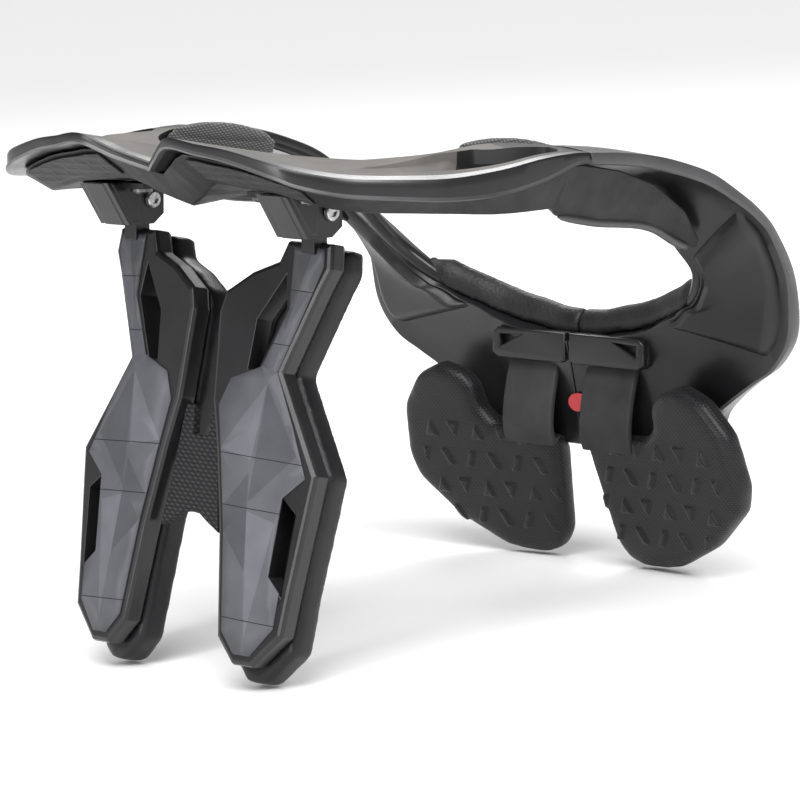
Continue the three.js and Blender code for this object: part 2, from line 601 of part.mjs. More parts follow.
// Standing pose: level on the lowest points of the struts and of the chest pads
function lowestPoint(name, pitch) {
  const points = brace.children.filter((mesh) => mesh.name.startsWith(name)).flatMap((mesh) => {
    const source = mesh.geometry.attributes.position;
    return Array.from({ length: source.count }, (_, i) => vector(0, source.getY(i), source.getZ(i)));
  });
  const turned = points.map((point) => point.applyAxisAngle(vector(1, 0, 0), pitch));
  return turned.reduce((low, point) => (point.z < low.z ? point : low));
}

let pitch = 0;
for (let round = 0; round < 6; round++) {
  const rear = lowestPoint('strut', pitch);
  const front = lowestPoint('chest_pad', pitch);
  pitch += Math.atan2(rear.z - front.z, front.y - rear.y);
}
brace.rotation.x = pitch;
brace.updateMatrixWorld(true);
const extent = new THREE.Box3().setFromObject(brace, true);
brace.position.set(0, -(extent.min.y + extent.max.y) / 2, -extent.min.z);

const group = new THREE.Group();
group.add(brace);

export default group;
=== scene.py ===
"""Motocross neck brace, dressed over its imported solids. Metres, in the frame of the solids."""
import json
from math import atan2, cos, pi, radians, sin

import bmesh
import bpy
from mathutils import Matrix, Vector


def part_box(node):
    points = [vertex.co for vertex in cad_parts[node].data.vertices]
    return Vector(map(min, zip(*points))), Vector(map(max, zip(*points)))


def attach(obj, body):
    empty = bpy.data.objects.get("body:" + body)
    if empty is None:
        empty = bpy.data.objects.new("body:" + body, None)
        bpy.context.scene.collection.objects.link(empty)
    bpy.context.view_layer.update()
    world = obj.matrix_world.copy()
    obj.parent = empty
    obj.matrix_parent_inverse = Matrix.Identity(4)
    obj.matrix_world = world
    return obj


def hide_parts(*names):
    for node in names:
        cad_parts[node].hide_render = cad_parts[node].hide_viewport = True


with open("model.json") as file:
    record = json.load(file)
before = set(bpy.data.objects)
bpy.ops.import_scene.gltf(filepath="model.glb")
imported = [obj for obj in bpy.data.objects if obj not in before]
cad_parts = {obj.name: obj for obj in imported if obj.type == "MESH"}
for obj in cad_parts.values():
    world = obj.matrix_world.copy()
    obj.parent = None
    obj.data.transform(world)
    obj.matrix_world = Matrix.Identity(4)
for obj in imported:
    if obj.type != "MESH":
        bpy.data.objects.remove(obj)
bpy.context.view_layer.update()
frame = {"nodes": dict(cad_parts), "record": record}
MM = 0.001
SIDES = {"right": 1, "left": -1}

# The worn pose: +Y forward, +X to the wearer's right, and its tilt to the standing pose
STRUT_LEAN = radians(10.2)
STRUT_TURN = radians(5)
PIVOT_WORN = Vector((0, -101, 87)) * MM
record = frame["record"]
back_axis = next(mount["axis"] for mount in record["mounts"] if mount["name"] == "back_right")
pitch = atan2(back_axis[2], back_axis[1]) + STRUT_LEAN
hinge = record["behaviour"]["joints"][0]
turn_down = Matrix.Rotation(pitch, 4, "X")
lift = Vector(hinge["pos_m"]) - turn_down @ PIVOT_WORN
worn_to_standing = Matrix.Translation(lift) @ turn_down


def worn(x, y, z):
    """A point given in millimetres in the worn pose, as it stands."""
    return worn_to_standing @ (Vector((x, y, z)) * MM)


# Camera of the photograph: from behind on the wearer's right, through a long lens
AZIMUTH = radians(44)
ELEVATION = radians(6.68)
DISTANCE = 1.856
LENS = 200.4

toward = Vector((sin(AZIMUTH) * cos(ELEVATION), -cos(AZIMUTH) * cos(ELEVATION), sin(ELEVATION)))
rightward = Vector((cos(AZIMUTH), sin(AZIMUTH), 0))
upward = toward.cross(rightward)


def place_camera():
    camera = bpy.data.objects.new("camera", bpy.data.cameras.new("camera"))
    bpy.context.scene.collection.objects.link(camera)
    camera.data.lens = LENS
    camera.data.sensor_width = 36
    facing = Matrix((rightward, upward, toward)).transposed().to_4x4()
    camera.matrix_world = worn_to_standing @ Matrix.Translation(toward * DISTANCE) @ facing
    camera.data.clip_end = 20
    bpy.context.scene.camera = camera


place_camera()


# Materials, each from two tones and a range of roughness
class Nodes:
    """Small helper to wire one material's nodes."""

    def __init__(self, name):
        self.material = bpy.data.materials.new(name)
        self.material.use_nodes = True
        self.tree = self.material.node_tree
        self.shader = self.tree.nodes["Principled BSDF"]
        self.place = self.add("ShaderNodeTexCoord").outputs["Object"]

    def add(self, kind, **values):
        node = self.tree.nodes.new(kind)
        for key, value in values.items():
            setattr(node, key, value)
        return node

    def link(self, source, target):
        self.tree.links.new(source, target)

    def noise(self, scale, detail=3.0):
        node = self.add("ShaderNodeTexNoise")
        node.inputs["Scale"].default_value = scale
        node.inputs["Detail"].default_value = detail
        self.link(self.place, node.inputs["Vector"])
        return node.outputs["Fac"]

    def ramp(self, source, stops):
        node = self.add("ShaderNodeValToRGB")
        for element, (position, color) in zip(node.color_ramp.elements, stops):
            element.position = position
            element.color = (*color, 1)
        self.link(source, node.inputs["Fac"])
        return node.outputs["Color"]

    def roughness(self, source, low, high):
        node = self.add("ShaderNodeMapRange")
        node.inputs["To Min"].default_value = low
        node.inputs["To Max"].default_value = high
        self.link(source, node.inputs["Value"])
        self.link(node.outputs["Result"], self.shader.inputs["Roughness"])

    def bump(self, source, strength, distance):
        node = self.add("ShaderNodeBump")
        node.inputs["Strength"].default_value = strength
        node.inputs["Distance"].default_value = distance
        self.link(source, node.inputs["Height"])
        self.link(node.outputs["Normal"], self.shader.inputs["Normal"])

    def color(self, source):
        self.link(source, self.shader.inputs["Base Color"])


def plastic(name, dark, light, low, high, shine=0.5, grain=2600):
    made = Nodes(name)
    made.color(made.ramp(made.noise(38), [(0.3, dark), (0.7, light)]))
    made.roughness(made.noise(120, 5), low, high)
    made.bump(made.noise(grain, 2), 0.18, 0.0001)
    made.shader.inputs["Specular IOR Level"].default_value = shine
    return made.material


# Length of one wave of the wave texture at a scale of 1, in metres
UNIT_WAVE = 0.314


def woven(name, dark, light, pitch, relief, sheen, roughness):
    """Cloth with threads both ways, from two crossed waves with a pitch in millimetres."""
    made = Nodes(name)
    heights = []
    for direction in ("DIAGONAL", "Z"):
        wave = made.add("ShaderNodeTexWave", bands_direction=direction)
        wave.inputs["Scale"].default_value = UNIT_WAVE / (pitch * MM)
        made.link(made.place, wave.inputs["Vector"])
        heights.append(wave.outputs["Fac"])
    both = made.add("ShaderNodeMath", operation="MULTIPLY")
    made.link(heights[0], both.inputs[0])
    made.link(heights[1], both.inputs[1])
    made.color(made.ramp(both.outputs[0], [(0.1, dark), (0.7, light)]))
    made.roughness(made.noise(90), *roughness)
    made.bump(both.outputs[0], 0.7, relief)
    made.shader.inputs["Sheen Weight"].default_value = sheen
    made.shader.inputs["Specular IOR Level"].default_value = 0.3
    return made.material


def grained(name, dark, light, scale, low, high, relief=0.0004):
    """Leather or rubber grain, from cells."""
    made = Nodes(name)
    cells = made.add("ShaderNodeTexVoronoi", feature="DISTANCE_TO_EDGE")
    cells.inputs["Scale"].default_value = scale
    made.link(made.place, cells.inputs["Vector"])
    made.color(made.ramp(made.noise(60), [(0.3, dark), (0.7, light)]))
    made.roughness(made.noise(150), low, high)
    made.bump(cells.outputs["Distance"], 0.5, relief)
    made.shader.inputs["Specular IOR Level"].default_value = 0.3
    return made.material


# Tint of the print in red, green and blue, and how its two shades differ from its tone
PRINT_TINT = (0.93, 0.95, 1.08)
PRINT_SHADES = (0.82, 1.12)


def printed(name, tone):
    """Satin print in one blue-grey tone, faintly mottled and worn."""
    made = Nodes(name)
    dark, light = (tuple(tone * shade * tint for tint in PRINT_TINT) for shade in PRINT_SHADES)
    made.color(made.ramp(made.noise(55, 6), [(0.3, dark), (0.7, light)]))
    made.roughness(made.noise(140, 5), 0.40, 0.56)
    made.bump(made.noise(2400, 2), 0.15, 0.0001)
    made.shader.inputs["Specular IOR Level"].default_value = 0.35
    return made.material


def grip(name):
    """Rubber with rows of short dashes, as bricks with wide joints."""
    made = Nodes(name)
    turn = made.add("ShaderNodeMapping")
    turn.inputs["Rotation"].default_value = (pi / 2, 0, 0)
    made.link(made.place, turn.inputs["Vector"])
    bricks = made.add("ShaderNodeTexBrick")
    bricks.inputs["Scale"].default_value = 100
    bricks.inputs["Brick Width"].default_value = 0.7
    bricks.inputs["Row Height"].default_value = 0.32
    bricks.inputs["Mortar Size"].default_value = 0.09
    bricks.inputs["Mortar Smooth"].default_value = 0.4
    made.link(turn.outputs["Vector"], bricks.inputs["Vector"])
    tones = [(0.0, (0.011, 0.011, 0.012)), (1.0, (0.024, 0.0235, 0.024))]
    made.color(made.ramp(bricks.outputs["Fac"], tones))
    made.roughness(made.noise(200, 4), 0.5, 0.7)
    made.bump(bricks.outputs["Fac"], 0.8, 0.0006)
    return made.material


STEEL_SHADES = (0.42, 0.66)


def steel(name, share=1.0):
    made = Nodes(name)
    dark, light = ((level * share,) * 3 for level in STEEL_SHADES)
    made.color(made.ramp(made.noise(700), [(0.3, dark), (0.7, light)]))
    made.roughness(made.noise(900), 0.22, 0.4)
    made.shader.inputs["Metallic"].default_value = 1.0
    return made.material


BLACK = plastic("black_plastic_look", (0.0075, 0.007, 0.0078), (0.013, 0.012, 0.0135), 0.24, 0.36, 0.5)
PILLOW = plastic("pillow_look", (0.006, 0.0056, 0.006), (0.010, 0.0095, 0.010), 0.34, 0.46, 0.45, 5200)
# Lighter than the black plastic: a painted highlight along the rolled beads of the collar, the wings and the
# noses
RIM_HIGHLIGHT = plastic("rim_painted_highlight_look", (0.040, 0.039, 0.041), (0.065, 0.063, 0.066), 0.24, 0.34)
GREY = plastic("grey_plastic_look", (0.105, 0.099, 0.092), (0.155, 0.147, 0.138), 0.46, 0.6, 0.06)
# Dark grey of the arms' top, also laid on the pockets' deep floors as painted shade
DARK_GREY = plastic("arm_top_and_scoop_shade_look", (0.012, 0.0117, 0.0117), (0.022, 0.0215, 0.0215), 0.36, 0.5, 0.12)
PRINT_TONES = {"dark": 0.062, "middle": 0.085, "light": 0.115}
PRINTS = [printed("printed_" + name + "_look", tone) for name, tone in PRINT_TONES.items()]
PANEL_LINE = plastic("panel_line_look", (0.008, 0.008, 0.010), (0.014, 0.014, 0.017), 0.5, 0.6, 0.2)
CARRIER = grained("carrier_look", (0.007, 0.0066, 0.007), (0.024, 0.023, 0.024), 900, 0.42, 0.62, 0.0003)
FOAM = grained("foam_look", (0.007, 0.007, 0.008), (0.013, 0.013, 0.015), 900, 0.30, 0.44, 0.0002)
PAD_WEAVE = woven("chest_pad_look", (0.006, 0.006, 0.007), (0.016, 0.016, 0.018), 1.1, 0.00012, 0.05,
                  (0.34, 0.5))
LEATHER = grained("leather_foam_look", (0.010, 0.010, 0.011), (0.022, 0.021, 0.022), 420, 0.4, 0.55, 0.0005)
MESH = woven("mesh_fabric_look", (0.018, 0.018, 0.019), (0.115, 0.11, 0.108), 1.0, 0.0003, 0.3, (0.7, 0.9))
RUBBER = grained("rubber_look", (0.026, 0.025, 0.0255), (0.042, 0.041, 0.0415), 1500, 0.6, 0.8, 0.0002)
WEB = woven("web_rubber_look", (0.007, 0.007, 0.008), (0.034, 0.034, 0.036), 1.6, 0.0003, 0.0, (0.6, 0.8))
RED = plastic("red_look", (0.42, 0.025, 0.03), (0.52, 0.04, 0.045), 0.28, 0.38)
STEEL = steel("steel_look")
GRIP = grip("grip_pad_look")
DARK_STEEL = steel("dark_steel_look", 0.25)


# Mesh helpers
def link_piece(name, mesh, body, materials, smooth):
    piece = bpy.data.objects.new(name, mesh)
    bpy.context.scene.collection.objects.link(piece)
    for material in materials:
        mesh.materials.append(material)
    mesh.shade_smooth()
    mesh.set_sharp_from_angle(angle=radians(smooth))
    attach(piece, body)
    return piece


def bevel(piece, width, segments=3, angle=30):
    made = piece.modifiers.new("bevel", "BEVEL")
    made.width = width * MM
    made.segments = segments
    made.limit_method = "ANGLE"
    made.angle_limit = radians(angle)
    made.harden_normals = True


WELD_REACH = 0.05


def dress(node, material, width):
    """A rigid solid whose shape is right: soft edges and its own finish."""
    piece = frame["nodes"][node]
    piece.data.materials.clear()
    piece.data.materials.append(material)
    weld = piece.modifiers.new("weld", "WELD")
    weld.merge_threshold = WELD_REACH * MM
    bevel(piece, width)


def smooth_rows(rows, steps):
    """Rows of numbers carried through their stations by a Catmull-Rom curve."""
    result = []
    for i in range(len(rows) - 1):
        four = [rows[max(i - 1, 0)], rows[i], rows[i + 1], rows[min(i + 2, len(rows) - 1)]]
        for step in range(steps):
            t = step / steps
            weights = (
                0.5 * (-t + 2 * t * t - t ** 3),
                0.5 * (2 - 5 * t * t + 3 * t ** 3),
                0.5 * (t + 4 * t * t - 3 * t ** 3),
                0.5 * (-t * t + t ** 3),
            )
            result.append([sum(w * row[k] for w, row in zip(weights, four)) for k in range(len(rows[0]))])
    result.append(list(rows[-1]))
    return result


def loft(name, rings, material_at=None):
    """Closed mesh through rings of points of equal count, capped at both ends."""
    count = len(rings[0])
    vertices = [point for ring in rings for point in ring]
    faces = []
    for r in range(len(rings) - 1):
        for i in range(count):
            j = (i + 1) % count
            faces.append((r * count + i, r * count + j, (r + 1) * count + j, (r + 1) * count + i))
    faces.append(tuple(range(count)))
    faces.append(tuple(range((len(rings) - 1) * count, len(rings) * count)))
    mesh = bpy.data.meshes.new(name)
    mesh.from_pydata(vertices, [], faces)
    work = bmesh.new()
    work.from_mesh(mesh)
    bmesh.ops.recalc_face_normals(work, faces=work.faces)
    work.to_mesh(mesh)
    work.free()
    if material_at:
        for index in range(len(mesh.polygons) - 2):
            mesh.polygons[index].material_index = material_at(index // count, index % count)
    return mesh


# The collar's rings, as in the solids: shares of the named sizes
HALF_WIDTH, REAR_REACH, FRONT_REACH, TOP_HEIGHT = 124.5, 155.6, 137, 112
EDGE_THICKNESS, NECK_THICKNESS, WING_EDGE, WING_CENTRE = 10, 3.2, 5, 24

# rim x, y, z, neck x, y, z, crown, band
REAR_TABLE = [
    (0.000, -0.906, 0.946, 0.000, -0.490, 0.925, 0.000, 0.40),
    (0.096, -0.958, 0.991, 0.100, -0.488, 0.927, 0.000, 0.42),
    (0.201, -1.000, 1.042, 0.190, -0.485, 0.930, 0.000, 0.43),
    (0.321, -0.996, 1.027, 0.300, -0.478, 0.935, 0.000, 0.45),
    (0.442, -0.977, 1.009, 0.400, -0.468, 0.940, 0.000, 0.50),
    (0.594, -0.945, 0.969, 0.500, -0.455, 0.948, 0.004, 0.60),
    (0.675, -0.906, 0.943, 0.560, -0.440, 0.955, 0.016, 0.70),
    (0.763, -0.829, 0.920, 0.610, -0.420, 0.965, 0.028, 0.75),
    (0.843, -0.707, 0.911, 0.650, -0.390, 0.978, 0.032, 0.80),
    (0.908, -0.566, 0.911, 0.675, -0.345, 0.990, 0.030, 0.90),
    (0.948, -0.418, 0.933, 0.690, -0.290, 1.000, 0.012, 1.00),
    (0.972, -0.289, 0.964, 0.703, -0.230, 1.003, 0.010, 0.92),
    (0.986, -0.180, 0.977, 0.715, -0.170, 1.000, 0.010, 0.50),
    (0.990, -0.120, 0.974, 0.722, -0.120, 0.990, 0.008, 0.42),
]

# rim x, y, z, neck x, y, z, rim depth, neck depth
WING_TABLE = [
    (0.988, -0.150, 0.977, 0.723, -0.150, 0.985, 0.80, 1.0),
    (0.996, 0.000, 0.968, 0.723, 0.000, 0.970, 0.85, 1.0),
    (1.000, 0.146, 0.946, 0.720, 0.146, 0.930, 0.90, 1.0),
    (0.996, 0.292, 0.907, 0.716, 0.307, 0.860, 0.90, 1.0),
    (0.990, 0.401, 0.866, 0.710, 0.445, 0.741, 0.95, 1.1),
    (0.980, 0.511, 0.804, 0.702, 0.570, 0.600, 1.00, 1.3),
    (0.971, 0.620, 0.732, 0.690, 0.650, 0.520, 1.05, 1.6),
    (0.964, 0.715, 0.640, 0.645, 0.715, 0.450, 1.10, 2.0),
    (0.960, 0.810, 0.470, 0.580, 0.775, 0.380, 1.20, 2.4),
    (0.952, 0.845, 0.270, 0.510, 0.820, 0.330, 1.30, 2.8),
    (0.885, 0.865, 0.150, 0.430, 0.855, 0.300, 1.50, 3.4),
    (0.790, 0.890, 0.085, 0.350, 0.885, 0.270, 1.80, 4.0),
    (0.675, 0.925, 0.010, 0.270, 0.905, 0.245, 2.20, 4.6),
    (0.565, 0.955, -0.080, 0.190, 0.920, 0.225, 2.80, 5.0),
    (0.470, 0.985, -0.205, 0.120, 0.928, 0.205, 3.60, 5.2),
    (0.240, 1.000, -0.210, 0.060, 0.930, 0.198, 4.40, 5.3),
    (0.002, 1.000, -0.212, 0.002, 0.930, 0.195, 4.60, 5.4),
]
# Depth of the wings at the neck for a table value of 1: the last row is the full depth at the middle
NECK_DEPTH = WING_CENTRE / WING_TABLE[-1][7]


def rim_and_neck(row, reach):
    rim = Vector((row[0] * HALF_WIDTH, row[1] * reach, row[2] * TOP_HEIGHT))
    neck = Vector((row[3] * HALF_WIDTH, row[4] * reach, row[5] * TOP_HEIGHT))
    return rim, neck


def side_point(side, point):
    return worn(side * point.x, point.y, point.z)


# Collar shell: top with scooped pockets, whose deep floors are painted darker as painted shade, a rolled rim
# bead painted lighter as a painted highlight, and a black band. Stations of the pockets' ends
POCKET_START, POCKET_END, POCKET_DEPTH = 6.8, 11.8, 6.5
# Shares from rim to neck: where a pocket starts, and how wide it is at its rear, at its widest and in front
POCKET_OUTER, POCKET_REAR, POCKET_WIDE, POCKET_FRONT = 0.17, 0.08, 0.60, 0.25
# Shares of the pocket's length and depth: its widest place, and the ramp and the step of its floor
WIDEST_AT, RAMP_END, RAMP_DEPTH, STEP_LENGTH = 0.55, 0.4, 0.45, 0.06
# Where across the top its crown is highest
CROWN_AT = 0.55
RIM_SHARES = (0, 0.04, 0.09, 0.14)
SCOOP_SHARES = (0, 0.06, 0.12, 0.25, 0.4, 0.6, 0.75, 0.88, 0.94, 1)
NECK_SHARES = (0.25, 0.5, 0.75, 0.93, 1)
TOP_COUNT = len(RIM_SHARES) + len(SCOOP_SHARES) + len(NECK_SHARES)


def pocket_share(station):
    return (station - POCKET_START) / (POCKET_END - POCKET_START)


def pocket_inner(along):
    """How far in from the rim the scoop reaches, at a share of its length."""
    along = min(max(along, 0), 1)
    if along < WIDEST_AT:
        return POCKET_OUTER + POCKET_REAR + (POCKET_WIDE - POCKET_REAR) * along / WIDEST_AT
    return POCKET_OUTER + POCKET_WIDE - (POCKET_WIDE - POCKET_FRONT) * (along - WIDEST_AT) / (1 - WIDEST_AT)


def pocket_floor(along):
    """Depth of the scoop: a ramp at its rear, a step down, and a short wall in front."""
    if not 0 < along < 1:
        return 0
    if along < RAMP_END:
        return POCKET_DEPTH * RAMP_DEPTH * along / RAMP_END
    if along < RAMP_END + STEP_LENGTH:
        return POCKET_DEPTH * (RAMP_DEPTH + (1 - RAMP_DEPTH) * (along - RAMP_END) / STEP_LENGTH)
    return POCKET_DEPTH * min(1, (1 - along) / STEP_LENGTH)


def shell_top(rim, neck, crown, along):
    """Points across the top from rim to neck, lowered where they lie in the scoop."""
    inner = pocket_inner(along)
    floor = pocket_floor(along)
    shares = [(t, 0) for t in RIM_SHARES]
    for i, t in enumerate(SCOOP_SHARES):
        wall = min(i, len(SCOOP_SHARES) - 1 - i)
        shares.append((POCKET_OUTER + (inner - POCKET_OUTER) * t, floor * min(1, wall / 2)))
    shares += [(inner + (1 - inner) * t, 0) for t in NECK_SHARES]
    points = []
    for share, depth in shares:
        point = rim.lerp(neck, share)
        swell = share / CROWN_AT if share < CROWN_AT else (1 - share) / (1 - CROWN_AT)
        point.z += crown * swell - depth
        points.append(point)
    return points


# Steps out and up from the band's lower edge that make the rolled bead
BEAD_STEPS = [(0.4, 0), (1.4, 0.7), (0.5, 1.7)]
# The band's face: how far it stands out halfway and near the rim, and how low both places are
BAND_OUT, BAND_SHARE = 0.7, 0.4
RIM_OUT, RIM_DROP = 0.6, 0.8
UNDER_SAG, UNDER_INSET = 1.5, 2


def shell_ring(row, station):
    rim, neck = rim_and_neck(row, REAR_REACH)
    crown, band = row[6] * TOP_HEIGHT, row[7] * EDGE_THICKNESS
    top = shell_top(rim, neck, crown, pocket_share(station))
    outward = (rim - neck).normalized()
    down = Vector((0, 0, -1))
    low = rim + down * band
    middle = rim.lerp(neck, 0.5) + down * (NECK_THICKNESS + UNDER_SAG)
    under = [neck + down * NECK_THICKNESS, middle, low - outward * UNDER_INSET]
    bead = [low + outward * out - down * up for out, up in BEAD_STEPS]
    face = [rim + outward * BAND_OUT + down * band * BAND_SHARE, rim + outward * RIM_OUT + down * RIM_DROP]
    return top + under + bead + face


# Looks of the shell, the bead's look a painted highlight, and where its dark ones start: share of the
# pocket's length, past which its deep floor is painted darker as painted shade, and station of the arms, past
# which the top is dark grey of its own
TOP_LOOK, DARK_TOP_AND_SCOOP_SHADE_LOOK, BAND_LOOK, BEAD_HIGHLIGHT_LOOK = range(4)
SCOOP_SHADE_FROM, ARM_DARK_FROM = 0.43, 10.6
TABLE_STEPS = 8


def build_collar_shell():
    rows = smooth_rows(REAR_TABLE, TABLE_STEPS)
    half = [shell_ring(row, i / TABLE_STEPS) for i, row in enumerate(rows)]
    right = [[side_point(1, p) for p in ring] for ring in half]
    left = [[side_point(-1, p) for p in ring] for ring in half]
    rings = left[:0:-1] + right
    middle = len(left) - 1

    def look_at(ring, i):
        station = abs(ring + 0.5 - middle) / TABLE_STEPS
        in_scoop = len(RIM_SHARES) <= i < len(RIM_SHARES) + len(SCOOP_SHARES) - 1
        # The bead's faces take the lighter rim colour, a painted highlight
        if TOP_COUNT + 2 <= i <= TOP_COUNT + 4:
            return BEAD_HIGHLIGHT_LOOK
        if i < len(RIM_SHARES) - 2 or i >= TOP_COUNT - 1:
            return BAND_LOOK
        # The pocket's deep floor gets the dark grey as painted shade; the arms' top is dark grey of its own
        if (in_scoop and SCOOP_SHADE_FROM < pocket_share(station) < 1) or station > ARM_DARK_FROM:
            return DARK_TOP_AND_SCOOP_SHADE_LOOK
        return TOP_LOOK

    mesh = loft("collar_shell_skin", rings, look_at)
    piece = link_piece("collar_shell_skin", mesh, "collar", [GREY, DARK_GREY, BLACK, RIM_HIGHLIGHT], 32)
    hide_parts("collar_shell")


# Wings: the black front halves with a beaded rim, the bead painted lighter as a painted highlight
MIDDLE_REACH = 1
WING_POINTS = 8
OUTER_BULGE, INNER_BULGE, RIM_LIP = 1.5, 0.7, 1.0
# The bead on the rim: share of the rim's depth, steps inward and outward
WING_BEAD = [(0.9, 0.8, 1.4), (0.5, 0, 1.8), (0, 0, 0.9)]


def wing_frames(steps):
    """Along the wing: rim and neck, the way inward, and the depth at both."""
    rows = smooth_rows(WING_TABLE, steps)
    frames = []
    points = [rim_and_neck(row, FRONT_REACH) for row in rows]
    for i, (row, (rim, neck)) in enumerate(zip(rows, points)):
        before = points[max(i - 1, 0)]
        after = points[min(i + 1, len(points) - 1)]
        along = (after[0] + after[1] - before[0] - before[1]) / 2
        inward = (neck - rim).cross(along).normalized()
        if rim.x < MIDDLE_REACH:
            inward.x = 0
        frames.append((rim, neck, inward, row[6] * WING_EDGE, row[7] * NECK_DEPTH))
    return frames


WING_FRAMES = wing_frames(6)


def wing_ring(rim, neck, inward, rim_depth, neck_depth):
    across = (rim - neck).normalized()
    shares = [i / WING_POINTS for i in range(WING_POINTS + 1)]
    outer = [rim.lerp(neck, t) - inward * (OUTER_BULGE * sin(pi * t)) for t in shares]
    low, high = rim + inward * rim_depth, neck + inward * neck_depth
    inner = [low.lerp(high, t) - inward * (INNER_BULGE * sin(pi * t)) for t in reversed(shares)]
    inner[-1] += inward * RIM_LIP
    bead = [rim + inward * (rim_depth * share + step) + across * out for share, step, out in WING_BEAD]
    return outer + inner + bead


def build_wings():
    rings = [wing_ring(*station) for station in WING_FRAMES]
    # Faces from here on are the bead, in the lighter rim colour as a painted highlight
    first_bead_face = 2 * WING_POINTS + 1
    for name, side in SIDES.items():
        mesh = loft("wing_skin_" + name, [[side_point(side, p) for p in ring] for ring in rings],
                    lambda ring, i: 1 if i >= first_bead_face else 0)
        piece = link_piece("wing_skin_" + name, mesh, "collar", [BLACK, RIM_HIGHLIGHT], 40)
        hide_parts("front_wing_" + name)
        bevel(piece, 0.5, 2, 55)


# Shares of a rod's radius over its domed ends
DOME = (0.3, 0.75, 0.93, 1)


def tube(name, points, radius, body, material, sides=16):
    """A round rod along points, with domed ends."""
    rings = []
    count = len(points)
    for i, point in enumerate(points):
        along = (points[min(i + 1, count - 1)] - points[max(i - 1, 0)]).normalized()
        side = along.cross(Vector((0, 0, 1))).normalized()
        other = side.cross(along)
        near_end = min(i, count - 1 - i)
        size = radius * DOME[min(near_end, len(DOME) - 1)]
        angles = [2 * pi * k / sides for k in range(sides)]
        rings.append([point + side * size * cos(a) + other * size * sin(a) for a in angles])
    return link_piece(name, loft(name, rings), body, [material], 50)


# Edge bead under each arm's nose: shares along the nose, from rim to neck, and down
NOSE_LENGTH, NOSE_START, NOSE_DEPTH, BEAD_RADIUS = 86, -20, 22, 1.7
NOSE_GAP, NOSE_FALL = 0.2, 6
NOSE_STATIONS = [
    (0.02, 0.56, 0.98), (0.30, 0.59, 0.98), (0.60, 0.61, 0.72), (0.85, 0.61, 0.45), (0.99, 0.61, 0.15),
]


def build_nose_beads():
    rear = WING_FRAMES[0][0].y
    line = []
    for along, across, drop in smooth_rows(NOSE_STATIONS, 6):
        y = NOSE_START + along * NOSE_LENGTH
        after = next(i for i, station in enumerate(WING_FRAMES) if station[0].y > max(y, rear))
        rim_a, neck_a = WING_FRAMES[after - 1][:2]
        rim_b, neck_b = WING_FRAMES[after][:2]
        share = max(0, (y - rim_a.y) / (rim_b.y - rim_a.y))
        point = rim_a.lerp(rim_b, share).lerp(neck_a.lerp(neck_b, share), across)
        depth = WING_EDGE + NOSE_GAP + NOSE_FALL * along + NOSE_DEPTH * drop
        line.append(Vector((point.x, y, point.z - depth)))
    for name, side in SIDES.items():
        # The nose bead takes the lighter rim colour, a painted highlight
        tube("nose_bead_" + name, [side_point(side, p) for p in line], BEAD_RADIUS * MM, "collar",
             RIM_HIGHLIGHT)


# Rail along the wings' neck edge, from one frame to another, at a share of the depth
RAIL_RADIUS, RAIL_FROM, RAIL_TO, RAIL_SHARE = 3.4, 4, 96, 0.4
# Raised pillow on the inner face: where it lies on the wing, and from where to where between rim and neck
PILLOW_REAR, PILLOW_SIDE = 0.53, 0.895
PILLOW_LOW, PILLOW_HIGH, PILLOW_SLOPE = 0.08, 0.96, 0.09
PILLOW_HEIGHT, PILLOW_SINK, PILLOW_ROOT = 5.5, 0.4, 2.5
PILLOW_ROOT_SHARES = (0.94, 0.5, 0.1)
PILLOW_STEPS, PILLOW_END_RINGS = 40, 3


def pillow_rings(side):
    span = [station for station in WING_FRAMES
            if station[0].y > PILLOW_REAR * FRONT_REACH and station[0].x > PILLOW_SIDE * HALF_WIDTH]
    shares = [PILLOW_LOW + (PILLOW_HIGH - PILLOW_LOW) * i / PILLOW_STEPS for i in range(PILLOW_STEPS + 1)]
    rings = []
    for index, (rim, neck, inward, rim_depth, neck_depth) in enumerate(span):
        end = min(1, min(index, len(span) - 1 - index) / PILLOW_END_RINGS)
        low, high = rim + inward * rim_depth, neck + inward * neck_depth
        ring = []
        for share in shares:
            edge = min(1, (share - PILLOW_LOW) / PILLOW_SLOPE, (PILLOW_HIGH - share) / PILLOW_SLOPE)
            rise = PILLOW_HEIGHT * sin(pi / 2 * max(0, edge)) * sin(pi / 2 * end)
            ring.append(low.lerp(high, share) + inward * (rise - PILLOW_SINK))
        ring += [low.lerp(high, share) - inward * PILLOW_ROOT for share in PILLOW_ROOT_SHARES]
        rings.append([side_point(side, p) for p in ring])
    return rings


def build_wing_details():
    stretch = WING_FRAMES[RAIL_FROM:RAIL_TO]
    rail = [neck + inward * depth * RAIL_SHARE for _, neck, inward, _, depth in stretch]
    for name, side in SIDES.items():
        tube("wing_rail_" + name, [side_point(side, p) for p in rail], RAIL_RADIUS * MM, "collar",
             BLACK)
        piece = link_piece("wing_pillow_" + name, loft("wing_pillow_" + name, pillow_rings(side)), "collar",
                           [PILLOW], 50)
        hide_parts("wing_plate_" + name)


